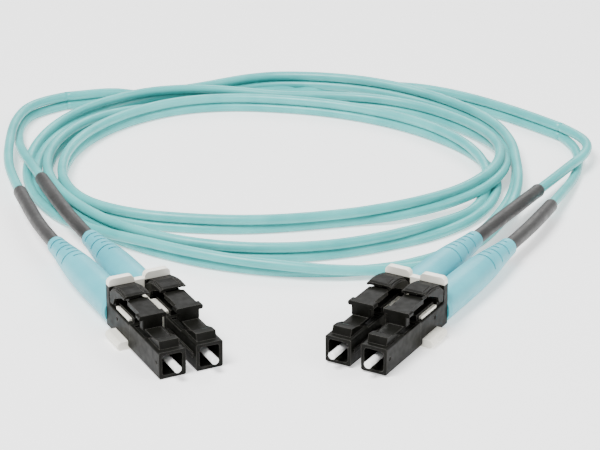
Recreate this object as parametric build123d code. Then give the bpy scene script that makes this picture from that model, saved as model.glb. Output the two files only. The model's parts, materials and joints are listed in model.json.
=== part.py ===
from build123d import *
import os
from math import cos, radians, sin, tan

# LC duplex fibre patch cord, millimetres and degrees, lying on a table at z = 0.
# Each plug is drawn in its own frame: x across, y from the nose's front face to the rear,
# z up from the nose's underside. The two plugs of an end stand PITCH apart in a duplex clip.

# ---- Driving dimensions: plug housing and rear body ----
PITCH = 6.25
AXIS_Z = 2.25
NOSE_W = 4.5
NOSE_H = 4.5
# (y, z) outline of the raised root of the latch, on top of the nose
BUMP = ((0.9, 4.4), (1.4, 5.7), (2.7, 5.6), (4.3, 5.1), (5.7, 4.3), (5.7, 4.0))
BUMP_W = 3.3
SLOPE_END = 5.7
TOP_Z = 4.3
HOUSING_END = 11.4
WALL_POCKET_Z = 3.92
POCKET_W = 3.5
POCKET_END = 10.6
CAVITY = 3.4
CAVITY_R = 0.5
CAVITY_END = 5.7
SHOULDER_END = 6.4
SHOULDER_HOLE_R = 1.0
SPRING_BORE_R = 1.45
EDGE_R = 0.3
CORNER_R = 0.2
RAIL = (0.3, 0.7)
RAIL_Z = 2.4
BODY_W = 4.5
BODY_END = 20.7
CLIP_SEAT = (12.0, 17.2)
CLIP_SEAT_DEPTH = 0.45
TONGUE_W = 2.8
TONGUE_Y = (11.4, 12.2, 17.3)
TONGUE_Z = (4.75, 5.2)
COLLAR_START = 19.45
COLLAR_Z = 7.2
DIMPLE_R = 0.35
DIMPLE_DEPTH = 0.15
DIMPLE_Y = 16.2
DIMPLE_Z = 3.1

# ---- Latch lever and trigger ----
CLEAR = 0.08
LATCH_PIVOT = (3.5, 4.72)
LATCH_KNUCKLE_R = 0.38
LATCH_W = 2.6
ARM_Z = (4.5, 5.05)
CATCH_Y = (7.3, 8.6)
CATCH_W = 3.4
CATCH_TOP = 7.4
SHOULDER_W = 4.6
SHOULDER_Z = 6.6
TAIL_W = (3.4, 2.4)
TAIL_Y = (13.2, 15.5)
TAIL_BOTTOM = 6.65
TRIGGER_PIVOT = (18.6, 5.55)
TRIGGER_KNUCKLE_R = 0.55
TRIGGER_ROOT_W = 3.3
TRIGGER_ROOT_TOP = 6.6
TRIGGER_W = 4.5
TRIGGER_FRONT = 13.4
TRIGGER_TOP = 8.35
# (y, z) outlines: the arched middle, the chamfer beside it, and the cheek at each side
ARCH = ((13.4, 7.65), (13.4, 8.1), (13.9, 8.25), (15.2, 8.35), (16.6, 8.2), (18.2, 7.8),
        (18.9, 7.2), (19.15, 6.8), (19.15, 6.4), (18.05, 6.4), (17.5, 7.1), (16.6, 7.5),
        (15.0, 7.65))
CHAMFER_SIDE = ((13.4, 7.7), (13.4, 8.0), (15.1, 8.15), (16.6, 8.0), (18.2, 7.5), (18.9, 6.9),
                (18.2, 6.5), (16.8, 7.3), (15.0, 7.7))
CHEEK_SIDE = ((13.4, 7.55), (13.4, 7.85), (15.0, 7.95), (16.6, 7.8), (18.2, 7.3), (19.15, 6.6),
              (19.0, 4.8), (17.8, 4.95), (17.2, 6.2), (14.3, 7.55))
ARCH_W = 3.6
CHAMFER_W = 4.2
CHEEK = 0.4
RIM_CUT = (0.45, 7.85)
LINE_AT = (1.25, 15.6)
LINE_SIZE = (0.18, 3.6, 0.4)
CRADLE_Y = (17.7, 19.4)
CRADLE_Z = 5.5

# ---- Ferrule, spring, crimp parts ----
FERRULE_R = 0.6245
FERRULE_Y = (-2.15, 4.9)
FERRULE_CHAMFER = 0.15
FERRULE_SEAT_R = 0.45
FERRULE_END = 7.5
FLANGE_R = 1.3
FLANGE_Y = (6.5, 8.0)
HOLDER_NECK_R = 0.9
HOLDER_NECK_START = 5.0
KEY_SLOT = (0.5, 1.6, 0.6)
HOLDER_TAIL_R = 0.85
HOLDER_BORE_R = 0.45
HOLDER_END = 13.8
SPRING_R = 1.13
SPRING_WIRE_R = 0.12
SPRING_Y = (8.2, 12.8)
SPRING_TURNS = 6
POST_START = 13.0
POST_R = 1.6
POST_STEP = 19.0
POST_TAIL_R = 1.25
POST_END = 25.5
POST_BORE_R = 1.0
CRIMP_START = 21.8
CRIMP_R = 1.55
CRIMP_NECK_R = 1.35
CRIMP_END = 27.5

# ---- Boot, jackets and heat-shrink sleeves ----
BOOT_END = 48.5
BOOT_PROFILE = ((20.7, 2.6), (21.5, 2.8), (29.0, 2.78), (35.5, 2.66), (39.5, 2.42),
                (43.0, 2.05), (46.0, 1.75), (48.2, 1.6))
BOOT_GROOVES = (46.6, 44.9, 43.2, 41.5, 39.8, 38.1)
GROOVE_W = 0.4
GROOVE_DEPTH = 0.35
GROOVE_ARC = 100
# where each of the two staggered rows of grooves starts, degrees about the boot
GROOVE_ROWS = (-170, -110)
JACKET_R = 0.9
JACKET_GAP = 1.85
LEG_START = BOOT_END - 6.0
SLEEVE_R = 1.23

# ---- Duplex clip ----
CLIP_BOTTOM = -0.35
CLIP_LOBE = (5.65, 7.2)
CLIP_LOBE_Z = 1.15
CLIP_LOBE_R = 0.7
CLIP_WEB_W = 1.7
CLIP_PLATE_W = 10.1
CLIP_PLATE_Y = (12.3, 17.3)
HUMP_Y = (19.6, 20.7)
HUMP_W = 4.4
HUMP_Z = 8.45
HUMP_R = 0.8
BAR_Z = 7.45

# ---- Layout on the table, before the origin is moved to the middle of the hard pieces ----
# Each end: nose position, turn about z, tilt of the rear upwards, lift off the table.
ENDS = {
    "a": dict(at=(-16.7, -58.2), turn=27.0, tilt=1.3, lift=0.075),
    "b": dict(at=(8.6, -57.1), turn=-29.8, tilt=0.7, lift=0.28),
}
ORIGIN = (-2.344, -23.622)

# Each leg's jacket runs straight out of its boot to FIRST_BEND, then over these points.
# Plug 1 is on the left and plug 2 on the right, seen from in front of the noses.
LEGS = {
    "a1": [(-48.4, 2.0, 3.2), (-51.8, 13.2, 2.9), (-54.2, 22.6, 2.85), (-55.2, 33.6, 3.1),
           (-55.4, 46.0, 3.05), (-52.9, 55.8, 2.85), (-47.0, 59.3, 2.75)],
    "a2": [(-43.8, 4.6, 3.6), (-49.0, 19.5, 3.3), (-52.6, 30.4, 2.5), (-54.4, 40.6, 1.2),
           (-54.6, 49.2, 1.0), (-52.2, 55.6, 0.91), (-47.0, 59.3, 0.91)],
    "b1": [(38.6, 1.2, 3.25), (46.0, 14.6, 2.8), (50.2, 22.0, 2.75), (53.2, 26.6, 2.95),
           (54.6, 31.8, 2.95), (53.3, 37.4, 2.8), (50.6, 41.5, 2.75)],
    "b2": [(42.6, -2.4, 3.05), (47.4, 10.4, 1.95), (50.2, 18.6, 1.0), (52.0, 25.4, 0.92),
           (52.7, 32.0, 0.92), (52.2, 37.6, 0.91), (50.6, 41.5, 0.91)],
}
FIRST_BEND = BOOT_END + 6.0
SLEEVE_LENGTH = {"a1": 26.5, "a2": 30.0, "b1": 26.4, "b2": 22.0}

# The two jackets run on as one flat zipcord, standing on edge, into the coil.
PAIR_Z = 1.83
PAIR_LEADS = {
    "a": [(-47.0, 59.3), (-40.6, 62.2), (-33.6, 64.4), (-26.8, 65.9), (-21.0, 66.6)],
    "b": [(50.6, 41.5), (46.2, 46.8), (40.2, 53.2), (33.0, 59.6), (25.0, 64.6), (16.6, 67.9),
          (8.4, 69.5)],
}
# Loose coil: outer and inner reach from its middle at eight compass points, E first.
COIL_AT = (-4.0, 24.0)
COIL_OUTER = (45.4, 47.5, 47.2, 46.6, 46.9, 46.0, 47.8, 48.9)
COIL_INNER = (37.8, 32.6, 30.6, 38.4, 38.4, 35.0, 26.4, 28.6)
COIL_H = 3.65
COIL_FLAT_H = 1.88
COIL_FLATS = ((-62, -12), (160, 240))


def block(x, y, z):
    """A box from three (low, high) pairs."""
    size = [b - a for a, b in (x, y, z)]
    mid = [(a + b) / 2 for a, b in (x, y, z)]
    return Pos(*mid) * Box(*size)


def half(width):
    return (-width / 2, width / 2)


def across(points, width):
    """A side outline of (y, z) points, made `width` wide about the plug's middle."""
    outline = make_face(Polyline(*[(0, y, z) for y, z in points], close=True))
    return extrude(outline, amount=width / 2, dir=(1, 0, 0), both=True)


def rod(radius, y0, y1, at=(0.0, AXIS_Z)):
    """A round bar along the plug's axis."""
    return Pos(at[0], (y0 + y1) / 2, at[1]) * Rot(90, 0, 0) * Cylinder(radius, y1 - y0)


def pin_across(radius, width, pivot):
    """A round bar across the plug at a (y, z) pivot."""
    return Pos(0, *pivot) * Rot(0, 90, 0) * Cylinder(radius, width)


def along(solid):
    """The long edges of a solid, those that run along y."""
    return solid.edges().filter_by(Axis.Y)


def plug_housing(inner_side):
    """Nose with its rounded-square opening, latch bump, pocket under the latch arm."""
    body = block(half(NOSE_W), (0, HOUSING_END), (0, NOSE_H))
    body = fillet(along(body), EDGE_R)
    body -= block(half(NOSE_W + 1), (SLOPE_END, HOUSING_END + 1), (TOP_Z, NOSE_H + 1))
    body += across(BUMP, BUMP_W)
    rail_x = inner_side * (NOSE_W + RAIL[0]) / 2
    body += Pos(rail_x, 5.5, RAIL_Z) * Box(RAIL[0], 9.6, RAIL[1])
    opening = Plane.XZ * RectangleRounded(CAVITY, CAVITY, CAVITY_R)
    body -= Pos(0, 0, AXIS_Z) * extrude(opening, amount=-CAVITY_END)
    body -= rod(SHOULDER_HOLE_R, CAVITY_END - 0.1, SHOULDER_END + 0.1)
    body -= rod(SPRING_BORE_R, SHOULDER_END, HOUSING_END)
    slot_front = LATCH_PIVOT[0] - LATCH_KNUCKLE_R - CLEAR
    slot_floor = LATCH_PIVOT[1] - LATCH_KNUCKLE_R - CLEAR
    body -= block(half(LATCH_W + 2 * CLEAR), (slot_front, SLOPE_END + 0.1), (slot_floor, 6))
    body -= block(half(POCKET_W), (SLOPE_END, POCKET_END), (WALL_POCKET_Z, 6))
    for side in (-1, 1):
        body -= Pos(side * NOSE_W / 2, 1.0, 2.5) * Rot(0, 90, 0) * Cylinder(0.35, 2 * 0.12)
    return body


def rear_body():
    """Rear half of the plug: clip seat, tongue over the clip's plate, trigger cradle, collar."""
    body = block(half(BODY_W), (HOUSING_END, BODY_END), (0, TOP_Z))
    body = fillet(along(body), EDGE_R)
    body -= block(half(BODY_W + 1), CLIP_SEAT, (-1, CLIP_SEAT_DEPTH))
    cradle = across([(CRADLE_Y[0], TOP_Z - 0.1), (CRADLE_Y[0] + 0.2, CRADLE_Z),
                     (CRADLE_Y[1], CRADLE_Z), (CRADLE_Y[1], TOP_Z - 0.1)], TRIGGER_ROOT_W + 0.3)
    root_y, tongue_y, tongue_end = TONGUE_Y
    body += cradle + block(half(TONGUE_W), (root_y, tongue_end), (TOP_Z - 0.1, TONGUE_Z[1]))
    body -= block(half(BODY_W + 1), (tongue_y, tongue_end + 0.1), (TOP_Z, TONGUE_Z[0]))
    body += block(half(BODY_W), (COLLAR_START, BODY_END), (TOP_Z - 0.5, COLLAR_Z))
    body -= pin_across(TRIGGER_KNUCKLE_R + CLEAR, BODY_W, TRIGGER_PIVOT)
    body -= block(half(BODY_W), (TRIGGER_PIVOT[0] - 0.63, CRADLE_Y[1] + 0.1),
                  (TRIGGER_PIVOT[1], CRADLE_Z + 1))
    body -= rod(SPRING_BORE_R, HOUSING_END, POST_START)
    body -= rod(POST_R, POST_START, POST_STEP)
    body -= rod(POST_TAIL_R, POST_STEP, BODY_END)
    for side in (-1, 1):
        dimple = Rot(0, 90, 0) * Cylinder(DIMPLE_R, 2 * DIMPLE_DEPTH)
        body -= Pos(side * BODY_W / 2, DIMPLE_Y, DIMPLE_Z) * dimple
    return body


def latch_lever():
    """Arm from its root in the bump, T-shaped catch, tail that the trigger presses."""
    root_y, root_z = LATCH_PIVOT
    lever = pin_across(LATCH_KNUCKLE_R, LATCH_W, LATCH_PIVOT)
    lever += across([(root_y, root_z + LATCH_KNUCKLE_R), (root_y, root_z - LATCH_KNUCKLE_R + 0.02),
                     (SLOPE_END, ARM_Z[0]), (CATCH_Y[1], ARM_Z[0] + 0.1),
                     (CATCH_Y[1], ARM_Z[1] + 0.2), (CATCH_Y[0], ARM_Z[1]),
                     (SLOPE_END, ARM_Z[1])], LATCH_W)
    catch = block(half(CATCH_W), CATCH_Y, (ARM_Z[1], CATCH_TOP))
    catch = fillet(catch.edges().filter_by(Axis.Z), CORNER_R)
    shoulders = block(half(SHOULDER_W), CATCH_Y, (SHOULDER_Z, CATCH_TOP))
    shoulders = fillet(along(shoulders), EDGE_R)
    lever += catch + shoulders
    wide, narrow = TAIL_W[0] / 2, TAIL_W[1] / 2
    right = [(wide, CATCH_Y[1] - 0.2), (wide, TAIL_Y[0]),
             (narrow, TAIL_Y[0] + 0.4), (narrow, TAIL_Y[1])]
    left = [(-x, y) for x, y in reversed(right)]
    outline = make_face(Polyline(*right, *left, close=True))
    tail = extrude(Pos(0, 0, TAIL_BOTTOM) * outline, amount=CATCH_TOP - TAIL_BOTTOM)
    tail = fillet(tail.edges().group_by(Axis.Y)[-1], CORNER_R)
    return lever + tail


def trigger_lever():
    """Anti-snag trigger: rooted at the rear, arched forward over the latch's tail."""
    y0, z0 = TRIGGER_PIVOT
    lever = pin_across(TRIGGER_KNUCKLE_R, TRIGGER_ROOT_W, TRIGGER_PIVOT)
    lever += block(half(TRIGGER_ROOT_W), (y0 - TRIGGER_KNUCKLE_R, y0 + TRIGGER_KNUCKLE_R),
                   (z0, TRIGGER_ROOT_TOP))
    lever += across(ARCH, ARCH_W) + across(CHAMFER_SIDE, CHAMFER_W)
    cheek = across(CHEEK_SIDE, CHEEK)
    for side in (-1, 1):
        lever += Pos(side * (TRIGGER_W - CHEEK) / 2, 0, 0) * cheek
    # the rim is cut thinner on its right than on its left
    lever -= block((0.35, TRIGGER_W), (TRIGGER_FRONT - 1, TRIGGER_FRONT + RIM_CUT[0]),
                   (7.0, RIM_CUT[1]))
    return lever - Pos(*LINE_AT, TRIGGER_TOP) * Box(*LINE_SIZE)


def ferrule():
    """Ground ceramic pin with a thinner seat that is pressed into the holder."""
    bar = rod(FERRULE_R, *FERRULE_Y)
    bar = chamfer(bar.edges().group_by(Axis.Y)[0], FERRULE_CHAMFER)
    return bar + rod(FERRULE_SEAT_R, FERRULE_Y[1], FERRULE_END)


def ferrule_holder():
    """Neck, keyed flange and hollow tail that carry the ferrule."""
    holder = rod(HOLDER_NECK_R, HOLDER_NECK_START, FLANGE_Y[0]) + rod(FLANGE_R, *FLANGE_Y)
    holder += rod(HOLDER_TAIL_R, FLANGE_Y[1], HOLDER_END)
    for side in (-1, 1):
        holder -= Pos(side * FLANGE_R, FLANGE_Y[0] + KEY_SLOT[1] / 2, AXIS_Z) * Box(*KEY_SLOT)
    holder -= rod(FERRULE_SEAT_R, HOLDER_NECK_START, FERRULE_END)
    return holder - rod(HOLDER_BORE_R, FERRULE_END, HOLDER_END)


def ferrule_spring():
    length = SPRING_Y[1] - SPRING_Y[0]
    path = Helix(pitch=length / SPRING_TURNS, height=length, radius=SPRING_R)
    wire = Plane(path @ 0, z_dir=path % 0) * Circle(SPRING_WIRE_R)
    coil = sweep(wire, path=path, is_frenet=True)
    return Pos(0, SPRING_Y[0], AXIS_Z) * Rot(-90, 0, 0) * coil


def crimp_body():
    """Back post: pressed into the rear body, grooved where the aramid yarn is crimped."""
    post = rod(POST_R, POST_START, POST_STEP) + rod(POST_TAIL_R, POST_STEP, POST_END)
    for y in (22.4, 23.2, 24.0, 24.8):
        post -= rod(POST_TAIL_R + 1, y, y + 0.3) - rod(POST_TAIL_R - 0.12, y, y + 0.3)
    return post - rod(POST_BORE_R, POST_START, POST_END)


def crimp_sleeve():
    tube = rod(CRIMP_R, CRIMP_START, POST_END) + rod(CRIMP_NECK_R, POST_END, CRIMP_END)
    tube -= rod(POST_TAIL_R, CRIMP_START, POST_END)
    return tube - rod(JACKET_R, POST_END, CRIMP_END)


def boot():
    """Tapered strain relief with staggered part-ring grooves near its tip."""
    start = BOOT_PROFILE[0][0]
    wall = Spline(*[(r, y) for y, r in BOOT_PROFILE[1:]])
    outline = Polyline((0, BOOT_END), (0, start), (BOOT_PROFILE[0][1], start), wall @ 0)
    tip = Polyline(wall @ 1, (BOOT_PROFILE[-1][1] - 0.25, BOOT_END), (0, BOOT_END))
    solid = revolve(make_face(outline + wall + tip), Axis.Y)
    for i, y in enumerate(BOOT_GROOVES):
        radius = (wall @ wall.param_at_point(wall.find_intersection_points(
            Axis((0, y, 0), (1, 0, 0)))[0])).X
        cut = Pos(radius, y, 0) * Rectangle(2 * GROOVE_DEPTH, GROOVE_W)
        ring = revolve(cut, Axis.Y, GROOVE_ARC)
        solid -= Rot(0, GROOVE_ROWS[i % 2], 0) * ring
    solid = Pos(0, 0, AXIS_Z) * solid
    solid -= rod(CRIMP_R, start, POST_END) + rod(CRIMP_NECK_R, POST_END, CRIMP_END)
    return solid - rod(JACKET_R, CRIMP_END, BOOT_END)


def duplex_clip():
    """One-piece clip: plate and lobes below, web between the plugs, humps at the rear."""
    lobes = block(half(2 * CLIP_LOBE[1]), CLIP_SEAT, (CLIP_BOTTOM, CLIP_LOBE_Z))
    lobes = fillet(along(lobes), CLIP_LOBE_R)
    ends = lobes.edges().group_by(Axis.Y)
    clip = fillet(ends[0] + ends[-1], CORNER_R)
    for side in (-1, 1):
        plug = block(half(BODY_W), (0, BODY_END + 1), (CLIP_SEAT_DEPTH, TOP_Z))
        clip -= Pos(side * PITCH / 2, 0, 0) * plug
    plate = block(half(CLIP_PLATE_W), CLIP_PLATE_Y, (TOP_Z, TONGUE_Z[0]))
    web = block(half(CLIP_WEB_W), (CLIP_SEAT[0], HUMP_Y[1]), (CLIP_BOTTOM + 0.2, TONGUE_Z[0]))
    post = block(half(CLIP_WEB_W), HUMP_Y, (TOP_Z, BAR_Z))
    bar = block(half(PITCH + HUMP_W - 2 * HUMP_R), HUMP_Y, (COLLAR_Z, BAR_Z))
    clip += plate + web + post + bar
    for side in (-1, 1):
        hump = block(half(HUMP_W), HUMP_Y, (COLLAR_Z, HUMP_Z))
        hump = fillet(hump.edges().filter_by(Axis.Y).group_by(Axis.Z)[-1], HUMP_R)
        clip += Pos(side * PITCH / 2, 0, 0) * hump
    return clip


def frame_of(end):
    spec = ENDS[end]
    return (Pos(*spec["at"], spec["lift"]) * Rot(0, 0, spec["turn"]) * Rot(spec["tilt"], 0, 0))


def plug_frame(end, plug):
    side = -1 if plug == "1" else 1
    return frame_of(end) * Pos(side * PITCH / 2, 0, 0)


def shifted(shape):
    """Moves a finished shape so that the origin is where the record says."""
    return Pos(-ORIGIN[0], -ORIGIN[1], 0) * shape


def corner_radii(points):
    """Each bend of a cord is as large as its two runs allow."""
    radii = []
    for a, b, c in zip(points, points[1:], points[2:]):
        before, after = b - a, c - b
        turn = radians(before.get_angle(after))
        radii.append(0.45 * min(before.length, after.length) / tan(turn / 2))
    return radii


def swept(path, section):
    face = Plane(path @ 0, z_dir=path % 0) * section
    return sweep(face, path=path, is_frenet=False)


def on_axis(name, y):
    """A point on a plug's own axis, on the table."""
    return (plug_frame(name[0], name[1]) * Pos(0, y, AXIS_Z)).position


def leg_points(name):
    ahead = [on_axis(name, LEG_START), on_axis(name, FIRST_BEND)]
    return ahead + [Vector(*p) for p in LEGS[name]]


def leg(name):
    points = leg_points(name)
    radii = corner_radii(points)
    path = FilletPolyline(*points, radius=radii)
    print(name, "leg", round(path.length, 1), "radii", [round(r, 1) for r in radii])
    return swept(path, Circle(JACKET_R))


def heat_shrink(name):
    """Sleeve over the leg from the boot's mouth; its bore is the leg's own surface."""
    points = leg_points(name)
    radii = corner_radii(points)
    tip = on_axis(name, BOOT_END)
    left = SLEEVE_LENGTH[name] - (points[1] - tip).length - (points[2] - points[1]).length
    run = points[3] - points[2]
    straight = run.length - 0.45 * min(run.length, (points[4] - points[3]).length)
    print(name, "sleeve ends", round(left, 1), "mm along a run straight for", round(straight, 1))
    end = points[2] + run.normalized() * left
    path = FilletPolyline(tip, points[1], points[2], end, radius=radii[:2])
    return swept(path, Circle(SLEEVE_R)) - swept(path, Circle(JACKET_R))


def pair_lead(end):
    points = [Vector(x, y, PAIR_Z) for x, y in PAIR_LEADS[end]]
    radii = corner_radii(points)
    path = FilletPolyline(*points, radius=radii)
    start = Plane(path @ 0, x_dir=(0, 0, 1), z_dir=path % 0)
    section = start * SlotOverall(JACKET_GAP + 2 * JACKET_R, 2 * JACKET_R)
    solid = sweep(section, path=path, is_frenet=False)
    print(end, "pair", round(path.length, 1), "radii", [round(r, 1) for r in radii],
          "volume ratio", round(solid.volume / (section.area * path.length), 3))
    return solid


def compass(reaches):
    """A smooth closed outline through eight reaches about the coil's middle."""
    x, y = COIL_AT
    points = [(x + r * cos(radians(45 * i)), y + r * sin(radians(45 * i)))
              for i, r in enumerate(reaches)]
    return make_face(Spline(*points, periodic=True))


def sector(start, end, low, high):
    """A wedge about the coil's middle, between two bearings."""
    x, y = COIL_AT
    reach = 90
    corners = [(x, y)] + [(x + reach * cos(radians(a)), y + reach * sin(radians(a)))
                          for a in (start, (start + end) / 2, end)]
    return extrude(Pos(0, 0, low) * make_face(Polyline(*corners, close=True)), amount=high - low)


def coil():
    """Outer shape of the loose turns: lower where the cord lies flat under the legs."""
    ring = extrude(compass(COIL_OUTER) - compass(COIL_INNER), amount=COIL_H)
    for start, end in COIL_FLATS:
        ring -= sector(start, end, COIL_FLAT_H, COIL_H + 1)
    return ring


def main():
    nodes = {}
    for end in ENDS:
        nodes[f"duplex_clip_{end}"] = frame_of(end) * duplex_clip()
        for plug, side in (("1", 1), ("2", -1)):
            name = end + plug
            here = plug_frame(end, plug)
            nodes[f"plug_housing_{name}"] = here * plug_housing(side)
            nodes[f"rear_body_{name}"] = here * rear_body()
            nodes[f"latch_lever_{name}"] = here * latch_lever()
            nodes[f"trigger_lever_{name}"] = here * trigger_lever()
            nodes[f"ferrule_{name}"] = here * ferrule()
            nodes[f"ferrule_holder_{name}"] = here * ferrule_holder()
            nodes[f"ferrule_spring_{name}"] = here * ferrule_spring()
            nodes[f"crimp_body_{name}"] = here * crimp_body()
            nodes[f"crimp_sleeve_{name}"] = here * crimp_sleeve()
            nodes[f"boot_{name}"] = here * boot()
            nodes[f"jacket_in_boot_{name}"] = here * rod(JACKET_R, POST_END, LEG_START)
            nodes[f"heat_shrink_{name}"] = heat_shrink(name)
            nodes[f"leg_{name}"] = leg(name)
        nodes[f"pair_lead_{end}"] = pair_lead(end)
    nodes["cord_coil"] = coil()
    os.makedirs("parts", exist_ok=True)
    for name, shape in nodes.items():
        shape = shifted(shape)
        solids = shape.solids()
        if len(solids) != 1:
            print("not one solid:", name, len(solids))
        export_step(solids[0] if len(solids) == 1 else shape, f"parts/{name}.step")


main()
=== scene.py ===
"""Looks of a duplex fibre patch cord: two clipped plug pairs and a loose coil of flat cable."""
import json
from math import cos, radians, sin

import bpy
import numpy as np
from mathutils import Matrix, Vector


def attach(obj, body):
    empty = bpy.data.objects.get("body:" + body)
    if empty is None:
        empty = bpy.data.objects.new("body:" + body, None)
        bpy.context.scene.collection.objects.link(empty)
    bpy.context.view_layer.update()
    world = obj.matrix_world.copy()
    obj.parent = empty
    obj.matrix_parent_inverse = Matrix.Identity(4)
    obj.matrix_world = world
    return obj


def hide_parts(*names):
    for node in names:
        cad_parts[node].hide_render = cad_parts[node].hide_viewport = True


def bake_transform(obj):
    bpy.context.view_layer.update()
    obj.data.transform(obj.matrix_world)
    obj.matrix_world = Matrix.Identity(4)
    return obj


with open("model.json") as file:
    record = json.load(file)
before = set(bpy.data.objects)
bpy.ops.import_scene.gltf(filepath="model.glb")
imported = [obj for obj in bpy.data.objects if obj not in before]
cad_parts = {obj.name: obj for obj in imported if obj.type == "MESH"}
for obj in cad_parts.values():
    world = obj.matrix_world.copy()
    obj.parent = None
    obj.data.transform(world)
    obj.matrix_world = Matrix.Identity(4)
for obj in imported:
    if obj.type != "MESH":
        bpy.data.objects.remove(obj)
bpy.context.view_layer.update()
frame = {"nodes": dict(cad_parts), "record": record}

MM = 0.001
ROOT = "cord_and_plugs"
PLUGS = ("a1", "a2", "b1", "b2")

# ---- The cord's route, in millimetres on the table, as the CAD has it ----
ORIGIN = Vector((-2.344, -23.622, 0.0))
MOUNT_Y = 1.5
BOOT_END = 48.5
LEG_START = BOOT_END - 6.0
FIRST_BEND = BOOT_END + 6.0
JACKET_R = 0.9
JACKET_GAP = 1.85
LEGS = {
    "a1": [(-48.4, 2.0, 3.2), (-51.8, 13.2, 2.9), (-54.2, 22.6, 2.85), (-55.2, 33.6, 3.1),
           (-55.4, 46.0, 3.05), (-52.9, 55.8, 2.85), (-47.0, 59.3, 2.75)],
    "a2": [(-43.8, 4.6, 3.6), (-49.0, 19.5, 3.3), (-52.6, 30.4, 2.5), (-54.4, 40.6, 1.2),
           (-54.6, 49.2, 1.0), (-52.2, 55.6, 0.91), (-47.0, 59.3, 0.91)],
    "b1": [(38.6, 1.2, 3.25), (46.0, 14.6, 2.8), (50.2, 22.0, 2.75), (53.2, 26.6, 2.95),
           (54.6, 31.8, 2.95), (53.3, 37.4, 2.8), (50.6, 41.5, 2.75)],
    "b2": [(42.6, -2.4, 3.05), (47.4, 10.4, 1.95), (50.2, 18.6, 1.0), (52.0, 25.4, 0.92),
           (52.7, 32.0, 0.92), (52.2, 37.6, 0.91), (50.6, 41.5, 0.91)],
}
SPRING_Y = (8.2, 12.8)
SPRING_R = 1.13
SPRING_WIRE_R = 0.12
SPRING_TURNS = 6
SPRING_POINTS_A_TURN = 24
SPRING_WIRE_SIDES = 8
SLEEVE_LENGTH = {"a1": 26.5, "a2": 30.0, "b1": 26.4, "b2": 22.0}
SLEEVE_R = 1.23
SLEEVE_END_R = 1.16
SLEEVE_STEP = 0.4
SLEEVE_WAVES = 12
SLEEVE_WAVE_R = 0.02
SLEEVE_SEED = 7
# What is tucked under another surface, so that no gap shows
TUCK = 0.02
TABLE_CLEARANCE = 0.03
PAIR_STEP = 1.2
# Half the angle that the web takes up on each jacket, and points round the rest of it
WEB_ANGLE = 9
JACKET_POINTS = 17
# The flat pair: x, y, height of its middle, and how far it is rolled over from standing on edge
LEAD_A = [(-47.0, 59.3, 1.83, 180), (-43.4, 60.4, 1.83, 180), (-39.8, 61.4, 1.83, 170),
          (-36.4, 62.2, 1.6, 140), (-33.0, 62.9, 1.1, 108), (-29.4, 63.5, 0.95, 85),
          (-26.0, 63.9, 1.4, 50), (-22.6, 64.4, 1.85, 15), (-19.0, 65.4, 1.95, 0),
          (-14.8, 67.2, 2.2, 0), (-10.2, 68.7, 2.5, 0)]
LEAD_B = [(8.4, 69.5, 1.0, 80), (16.6, 67.9, 1.3, 45), (25.0, 64.6, 1.83, 10), (33.0, 59.6, 1.83, 0),
          (40.2, 53.2, 1.83, 0), (46.2, 46.8, 1.83, 0), (50.6, 41.5, 1.83, 0)]
COIL_AT = (-4.0, 24.0)
# Each turn, clockwise from north: reach from the coil's middle, height and roll
# at every twelfth of a turn.
TURNS = (
    ((45.4, 2.8, 0), (43.8, 3.6, 0), (47.1, 1.83, 0), (44.4, 1.83, 0), (46.0, 1.25, -70),
     (50.3, 0.95, -90), (46.8, 1.75, -30), (43.5, 1.8, -20), (44.3, 0.95, -90),
     (46.3, 0.95, -90), (47.1, 2.4, -20), (42.5, 3.4, 30)),
    ((35.7, 1.83, 0), (39.6, 1.83, 0), (42.0, 1.83, 0), (42.3, 3.3, 40), (37.0, 3.2, 40),
     (28.2, 1.8, -15), (27.6, 1.8, -15), (31.8, 1.83, 0), (39.7, 1.83, 0), (40.3, 1.83, 0),
     (39.8, 1.83, 0), (38.3, 1.83, 0)),
    ((33.7, 1.83, 0), (32.7, 1.83, 0), (35.0, 1.83, 0), (39.4, 1.6, 45), (41.3, 0.95, 90),
     (40.3, 1.83, 0), (40.7, 1.83, 0), (41.2, 1.83, 0), (41.5, 1.83, 0), (43.4, 1.83, 0),
     (43.4, 1.83, 0), (41.2, 0.95, 90)),
)
# The reach, height and roll with which the pair leaves the coil, and route points per station
COIL_LEAVES = (43.0, 0.95, 90)
STEPS = 2


def spot(x, y, z):
    """A place on the table in millimetres, in the row frame in metres."""
    return (Vector((x, y, z)) - ORIGIN) * MM


def on_axis(plug, y):
    """A point on a plug's own axis, y millimetres behind its nose."""
    mount = next(m for m in frame["record"]["mounts"] if m["name"] == f"ferrule_tip_{plug}")
    return Vector(mount["pos_m"]) - Vector(mount["axis"]) * (y - MOUNT_Y) * MM


def coil_route():
    """The loose turns as route points, STEPS to every twelfth of a turn."""
    stations = [s for turn in TURNS for s in turn] + [COIL_LEAVES]
    around = [stations[0]] + stations + [stations[-1]]
    route = []
    for i in range(len(stations) - 1):
        before, here, after, last = (np.array(s, float) for s in around[i:i + 4])
        for step in range(STEPS):
            t = step / STEPS
            reach, z, roll = 0.5 * (2 * here + (after - before) * t
                                    + (2 * before - 5 * here + 4 * after - last) * t ** 2
                                    + (3 * here - before - 3 * after + last) * t ** 3)
            bearing = radians(90 - 360 / len(TURNS[0]) * (i + t))
            x = COIL_AT[0] + reach * cos(bearing)
            y = COIL_AT[1] + reach * sin(bearing)
            route.append((x, y, z, roll))
    reach, z, roll = COIL_LEAVES
    route.append((COIL_AT[0], COIL_AT[1] + reach, z, roll))
    return route


def resting(x, y, z, roll):
    """The pair lifted, where it has to be, so that its lower jacket clears the table."""
    lowest = JACKET_R + TABLE_CLEARANCE + JACKET_GAP / 2 * abs(cos(radians(roll)))
    return x, y, max(z, lowest), roll


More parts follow.
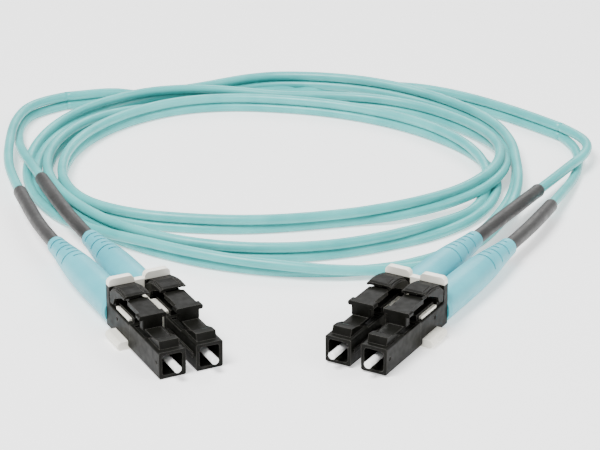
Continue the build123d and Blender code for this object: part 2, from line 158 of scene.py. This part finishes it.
# ---- Curves and tubes ----
def curve(name, points):
    """A smooth line that has the route's points as its control points."""
    data = bpy.data.curves.new(name, "CURVE")
    data.dimensions = "3D"
    data.resolution_u = 10
    spline = data.splines.new("NURBS")
    spline.points.add(len(points) - 1)
    for point, place in zip(spline.points, points):
        point.co = (*place, 1)
    spline.order_u = 3
    spline.use_endpoint_u = True
    obj = bpy.data.objects.new(name, data)
    bpy.context.scene.collection.objects.link(obj)
    return obj


def line_of(obj):
    """The points that a curve with no bevel draws, as an array."""
    bpy.context.view_layer.update()
    mesh = bpy.data.meshes.new_from_object(obj)
    points = np.array([v.co for v in mesh.vertices])
    bpy.data.meshes.remove(mesh)
    return points


def lengths_along(points):
    steps = np.linalg.norm(np.diff(points, axis=0), axis=1)
    return np.concatenate([[0.0], np.cumsum(steps)])


def even(points, step, extra=None):
    """Points a step apart along a line, with any extra values carried along."""
    s = lengths_along(points)
    count = int(s[-1] / step) + 1
    at = np.linspace(0, s[-1], count)
    line = np.stack([np.interp(at, s, points[:, k]) for k in range(3)], axis=1)
    if extra is None:
        return line
    return line, np.interp(at, s, extra)


def mesh_object(name, verts, faces):
    mesh = bpy.data.meshes.new(name)
    mesh.from_pydata([tuple(v) for v in verts], [], faces)
    mesh.update()
    mesh.polygons.foreach_set("use_smooth", [True] * len(mesh.polygons))
    obj = bpy.data.objects.new(name, mesh)
    bpy.context.scene.collection.objects.link(obj)
    return obj


def directions(line):
    ahead = np.gradient(line, axis=0)
    return ahead / np.linalg.norm(ahead, axis=1)[:, None]


def skin(rings):
    """Faces between rings that each have the same number of points, closed at both ends."""
    count, sides = len(rings), len(rings[0])
    verts = np.concatenate(rings)
    faces = []
    for i in range(count - 1):
        for k in range(sides):
            a, b = i * sides + k, i * sides + (k + 1) % sides
            faces.append((a, b, b + sides, a + sides))
    faces.append(tuple(reversed(range(sides))))
    faces.append(tuple(range((count - 1) * sides, count * sides)))
    return verts, faces


def section_rings(line, outline, roll=None):
    """An outline of (across, up) points carried along a line, upright and then rolled."""
    ahead = directions(line)
    up = np.array([0.0, 0.0, 1.0]) - ahead * ahead[:, 2:3]
    up /= np.linalg.norm(up, axis=1)[:, None]
    side = np.cross(ahead, up)
    turn = np.zeros(len(line)) if roll is None else np.radians(roll)
    c, s = np.cos(turn)[:, None], np.sin(turn)[:, None]
    rolled_up = up * c + side * s
    rolled_side = side * c - up * s
    return [p + outline[:, :1] * a + outline[:, 1:] * b
            for p, a, b in zip(line, rolled_side, rolled_up)]


def ring_outline(radius, sides=24):
    turn = np.linspace(0, 2 * np.pi, sides, endpoint=False)
    return radius * np.stack([np.cos(turn), np.sin(turn)], axis=1)


def pair_outline():
    """Two jackets joined by a thin web, one above the other."""
    arc = np.radians(np.linspace(-180 + WEB_ANGLE, 180 - WEB_ANGLE, JACKET_POINTS))
    upper = np.stack([JACKET_R * np.sin(arc), JACKET_GAP / 2 + JACKET_R * np.cos(arc)], axis=1)
    return np.concatenate([upper, -upper]) * MM


# ---- Materials ----
# Radius of a moulded edge, and depths of the grain and of turning marks, in millimetres
EDGE_R = 0.12
MOULDED_GRAIN = 0.004
TURNING_MARK = 0.002


class Shader:
    """A principled material with a few small helpers for its nodes."""

    def __init__(self, name, roughness, metallic=0.0, **sockets):
        self.material = bpy.data.materials.new(name)
        self.material.use_nodes = True
        self.tree = self.material.node_tree
        self.bsdf = self.tree.nodes["Principled BSDF"]
        self.bsdf.inputs["Roughness"].default_value = roughness
        self.bsdf.inputs["Metallic"].default_value = metallic
        for socket, value in sockets.items():
            self.bsdf.inputs[socket.replace("_", " ")].default_value = value

    def node(self, kind, **settings):
        made = self.tree.nodes.new(kind)
        for key, value in settings.items():
            if key in made.inputs:
                made.inputs[key].default_value = value
            else:
                setattr(made, key, value)
        return made

    def link(self, source, target):
        self.tree.links.new(source, target)

    def noise(self, scale, detail=3.0, stretch=(1, 1, 1)):
        where = self.node("ShaderNodeTexCoord")
        mapping = self.node("ShaderNodeMapping")
        mapping.inputs["Scale"].default_value = stretch
        noise = self.node("ShaderNodeTexNoise", Scale=scale, Detail=detail)
        self.link(where.outputs["Object"], mapping.inputs["Vector"])
        self.link(mapping.outputs["Vector"], noise.inputs["Vector"])
        return noise.outputs["Fac"]

    def ramp(self, value, low, high):
        ramp = self.node("ShaderNodeValToRGB")
        ramp.color_ramp.elements[0].position = 0.35
        ramp.color_ramp.elements[1].position = 0.65
        ramp.color_ramp.elements[0].color = (*low, 1)
        ramp.color_ramp.elements[1].color = (*high, 1)
        self.link(value, ramp.inputs["Fac"])
        return ramp.outputs["Color"]

    def span(self, value, low, high, before=(0.3, 0.7)):
        span = self.node("ShaderNodeMapRange")
        span.inputs["From Min"].default_value = before[0]
        span.inputs["From Max"].default_value = before[1]
        span.inputs["To Min"].default_value = low
        span.inputs["To Max"].default_value = high
        self.link(value, span.inputs["Value"])
        return span.outputs["Result"]

    def mix(self, factor, first, second):
        mix = self.node("ShaderNodeMix", data_type="RGBA")
        self.link(factor, mix.inputs["Factor"])
        for value, socket in ((first, mix.inputs[6]), (second, mix.inputs[7])):
            if isinstance(value, tuple):
                socket.default_value = (*value, 1)
            else:
                self.link(value, socket)
        return mix.outputs[2]

    def edges(self, radius):
        """How much an edge is rounded here, used as the mask for a painted highlight, and the rounded
        normal.
        """
        bevel = self.node("ShaderNodeBevel", samples=6)
        bevel.inputs["Radius"].default_value = radius
        geometry = self.node("ShaderNodeNewGeometry")
        dot = self.node("ShaderNodeVectorMath", operation="DOT_PRODUCT")
        self.link(bevel.outputs["Normal"], dot.inputs[0])
        self.link(geometry.outputs["Normal"], dot.inputs[1])
        # mask for the painted highlight: 1 on rounded edges, 0 on flat faces
        edge_highlight_mask = self.span(dot.outputs["Value"], 1.0, 0.0, before=(0.8, 0.995))
        return edge_highlight_mask, bevel.outputs["Normal"]

    def bump(self, height, distance, normal=None):
        bump = self.node("ShaderNodeBump", Distance=distance, Strength=1.0)
        self.link(height, bump.inputs["Height"])
        if normal is not None:
            self.link(normal, bump.inputs["Normal"])
        self.link(bump.outputs["Normal"], self.bsdf.inputs["Normal"])

    def colour(self, value):
        self.link(value, self.bsdf.inputs["Base Color"])

    def rough(self, value):
        self.link(value, self.bsdf.inputs["Roughness"])


def moulded_plastic(name, dark, light, edge_highlight_colour, rough, gloss):
    """Moulded plastic: fine grain, faint mottling, and a painted highlight that makes the edges lighter.
    """
    shader = Shader(name, 0.4, Specular_IOR_Level=gloss)
    edge_highlight_mask, rounded = shader.edges(EDGE_R * MM)
    body = shader.ramp(shader.noise(420, 5), dark, light)
    # painted highlight: the edges are mixed towards a lighter colour
    shader.colour(shader.mix(edge_highlight_mask, body, edge_highlight_colour))
    shader.rough(shader.span(shader.noise(900, 4), *rough))
    shader.bump(shader.noise(6000, 2), MOULDED_GRAIN * MM, normal=rounded)
    return shader.material


def soft_plastic(name, dark, light, rough, grain):
    """Boot, jacket or shrunk tube: soft sheen, slow colour drift, fine surface grain."""
    shader = Shader(name, 0.4, Sheen_Weight=0.05)
    shader.colour(shader.ramp(shader.noise(160, 4), dark, light))
    shader.rough(shader.span(shader.noise(700, 3), *rough))
    shader.bump(shader.noise(3500, 3), grain * MM)
    return shader.material


def metal(name, dark, light, rough, stretch):
    """Machined metal with fine turning marks."""
    shader = Shader(name, 0.3, metallic=1.0)
    marks = shader.noise(2500, 3, stretch)
    shader.colour(shader.ramp(marks, dark, light))
    shader.rough(shader.span(marks, *rough))
    shader.bump(marks, TURNING_MARK * MM)
    return shader.material


def ceramic(name):
    shader = Shader(name, 0.12, Coat_Weight=0.3, Subsurface_Weight=0.05)
    shader.bsdf.inputs["Subsurface Radius"].default_value = (0.4 * MM, 0.4 * MM, 0.35 * MM)
    shader.colour(shader.ramp(shader.noise(500, 3), (0.90, 0.90, 0.88), (0.94, 0.94, 0.93)))
    shader.rough(shader.span(shader.noise(1500, 2), 0.08, 0.2))
    return shader.material


# the third colour of each moulded plastic is its painted edge highlight
BLACK = moulded_plastic("black_plastic", (0.004, 0.004, 0.003), (0.008, 0.008, 0.007),
                        (0.085, 0.082, 0.075), (0.34, 0.5), gloss=0.06)
IVORY = moulded_plastic("ivory_plastic", (0.80, 0.78, 0.68), (0.85, 0.83, 0.74),
                        (0.90, 0.89, 0.82), (0.28, 0.42), gloss=0.5)
ZIRCONIA = ceramic("zirconia")
STEEL = metal("steel", (0.50, 0.50, 0.48), (0.66, 0.66, 0.64), (0.2, 0.38), (1, 6, 1))
BRASS = metal("nickel_brass", (0.52, 0.50, 0.45), (0.70, 0.68, 0.62), (0.22, 0.4), (1, 6, 1))
BOOT = soft_plastic("aqua_boot", (0.055, 0.38, 0.45), (0.08, 0.44, 0.51), (0.35, 0.5), 0.006)
JACKET = soft_plastic("aqua_jacket", (0.05, 0.37, 0.365), (0.08, 0.44, 0.43), (0.32, 0.46), 0.005)
SHRINK = soft_plastic("shrink_grey", (0.017, 0.0165, 0.016), (0.03, 0.029, 0.028), (0.42, 0.6), 0.01)
LOOKS = {"black_plastic": BLACK, "ivory_plastic": IVORY, "zirconia": ZIRCONIA, "steel": STEEL,
         "nickel_brass": BRASS, "aqua_boot": BOOT, "aqua_jacket": JACKET, "shrink_grey": SHRINK}


def paint(obj, material):
    obj.data.materials.clear()
    obj.data.materials.append(material)
    return obj


def paint_cad():
    """Every CAD node takes the look of its own material slot."""
    slots = {s["node"]: s["material_slot"] for s in frame["record"]["subparts"]}
    for name, obj in frame["nodes"].items():
        look = LOOKS[slots[name]]
        for place in obj.material_slots:
            place.material = look


# ---- Cords ----
def leg_route(plug):
    return [on_axis(plug, LEG_START), on_axis(plug, FIRST_BEND)] + [spot(*p) for p in LEGS[plug]]


def make_leg(plug):
    """One round jacket from inside its boot to where the two join."""
    leg = curve(f"jacket_leg_{plug}", leg_route(plug))
    line = line_of(leg)
    leg.data.bevel_depth = JACKET_R * MM
    leg.data.bevel_resolution = 6
    leg.data.use_fill_caps = True
    leg.data.materials.append(JACKET)
    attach(leg, ROOT)
    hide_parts(f"leg_{plug}", f"jacket_in_boot_{plug}")
    return line


def make_sleeve(plug, line):
    """Heat-shrink tube drawn down over the leg, from the boot's mouth."""
    fine = even(line, SLEEVE_STEP * MM)
    s = lengths_along(fine) / MM
    start = BOOT_END - LEG_START
    end = start + SLEEVE_LENGTH[plug]
    part = fine[(s > start - SLEEVE_STEP) & (s < end)]
    rings = section_rings(part, ring_outline(1.0))
    count = len(rings)
    rng = np.random.default_rng(SLEEVE_SEED + PLUGS.index(plug))
    knots = np.linspace(0, count - 1, SLEEVE_WAVES)
    wave = np.interp(np.arange(count), knots, rng.normal(0, SLEEVE_WAVE_R, SLEEVE_WAVES))
    radius = (SLEEVE_R + wave) * MM
    radius[-1] = SLEEVE_END_R * MM
    shaped = [c + (ring - c) * r for c, ring, r in zip(part, rings, radius)]
    lip = part[-1] + (rings[-1] - part[-1]) * (JACKET_R - TUCK) * MM
    verts, faces = skin(shaped + [lip])
    sleeve = mesh_object(f"shrink_sleeve_{plug}", verts, faces)
    paint(sleeve, SHRINK)
    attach(sleeve, ROOT)
    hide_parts(f"heat_shrink_{plug}")


def make_spring(plug):
    """The ferrule's spring: a wire coil between two points on the plug's axis."""
    front, rear = on_axis(plug, SPRING_Y[0]), on_axis(plug, SPRING_Y[1])
    axis = (rear - front).normalized()
    side = axis.cross(Vector((0, 0, 1))).normalized()
    up = side.cross(axis)
    count = SPRING_POINTS_A_TURN * SPRING_TURNS
    t = np.linspace(0, 1, count + 1)
    turn = 2 * np.pi * SPRING_TURNS * t[:, None]
    out = np.cos(turn) * np.array(side) + np.sin(turn) * np.array(up)
    line = np.array(front) + t[:, None] * np.array(rear - front) + out * SPRING_R * MM
    across = np.cross(directions(line), out)
    outline = ring_outline(SPRING_WIRE_R * MM, SPRING_WIRE_SIDES)
    rings = [p + outline[:, :1] * a + outline[:, 1:] * b for p, a, b in zip(line, out, across)]
    verts, faces = skin(rings)
    spring = paint(mesh_object(f"coil_spring_{plug}", verts, faces), STEEL)
    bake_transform(spring)
    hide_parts(f"ferrule_spring_{plug}")


def make_pair():
    """The flat pair from one end's legs, round the loose coil, to the other's."""
    route = [resting(*p) for p in LEAD_A + coil_route() + LEAD_B]
    guide = curve("pair_guide", [spot(*p[:3]) for p in route])
    line = line_of(guide)
    bpy.data.objects.remove(guide)
    # a quadratic spline passes each inner control point half a knot after the one before
    knots = np.concatenate([[0], np.arange(len(route) - 2) + 0.5, [len(route) - 2]])
    along = np.linspace(0, len(route) - 2, len(line))
    roll = np.interp(along, knots, [p[3] for p in route])
    line, roll = even(line, PAIR_STEP * MM, roll)
    verts, faces = skin(section_rings(line, pair_outline(), roll))
    pair = mesh_object("flat_pair", verts, faces)
    paint(pair, JACKET)
    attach(pair, ROOT)
    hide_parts("pair_lead_a", "pair_lead_b", "cord_coil")


# ---- Floor, light and camera ----
def make_floor():
    half = 3.0
    floor = mesh_object("floor", [(-half, -half, 0), (half, -half, 0), (half, half, 0), (-half, half, 0)],
                        [(0, 1, 2, 3)])
    shader = Shader("floor", 0.7, Emission_Color=(1, 1, 1, 1), Emission_Strength=0.7)
    shader.colour(shader.ramp(shader.noise(3, 2), (0.86, 0.86, 0.86), (0.88, 0.88, 0.88)))
    floor.data.materials.append(shader.material)


def aim(obj, target):
    obj.rotation_euler = (Vector(target) - obj.location).to_track_quat("-Z", "Y").to_euler()


def make_light(name, place, size, power, target=(0, 0.03, 0)):
    data = bpy.data.lights.new(name, "AREA")
    data.shape = "DISK"
    data.size = size
    data.energy = power
    light = bpy.data.objects.new(name, data)
    bpy.context.scene.collection.objects.link(light)
    light.location = place
    aim(light, target)


def make_world():
    world = bpy.data.worlds.new("studio")
    world.use_nodes = True
    world.node_tree.nodes["Background"].inputs["Color"].default_value = (1, 1, 1, 1)
    world.node_tree.nodes["Background"].inputs["Strength"].default_value = 0.45
    bpy.context.scene.world = world


def make_camera():
    target = spot(0, 0, 0)
    elevation = radians(23.0)
    distance = 0.4068
    data = bpy.data.cameras.new("camera")
    data.lens = 138.0
    data.sensor_width = 36.0
    data.clip_start = 0.01
    camera = bpy.data.objects.new("camera", data)
    bpy.context.scene.collection.objects.link(camera)
    camera.location = target + Vector((0, -cos(elevation), sin(elevation))) * distance
    aim(camera, target)
    bpy.context.scene.camera = camera


make_camera()
make_world()
make_floor()
make_light("key", (-0.3, -0.25, 0.75), 0.4, 15)
make_light("fill", (0.6, -0.2, 0.5), 0.5, 4)
make_light("back", (0.1, 0.7, 0.6), 0.6, 5)
paint_cad()
for plug in PLUGS:
    make_sleeve(plug, make_leg(plug))
    make_spring(plug)
make_pair()
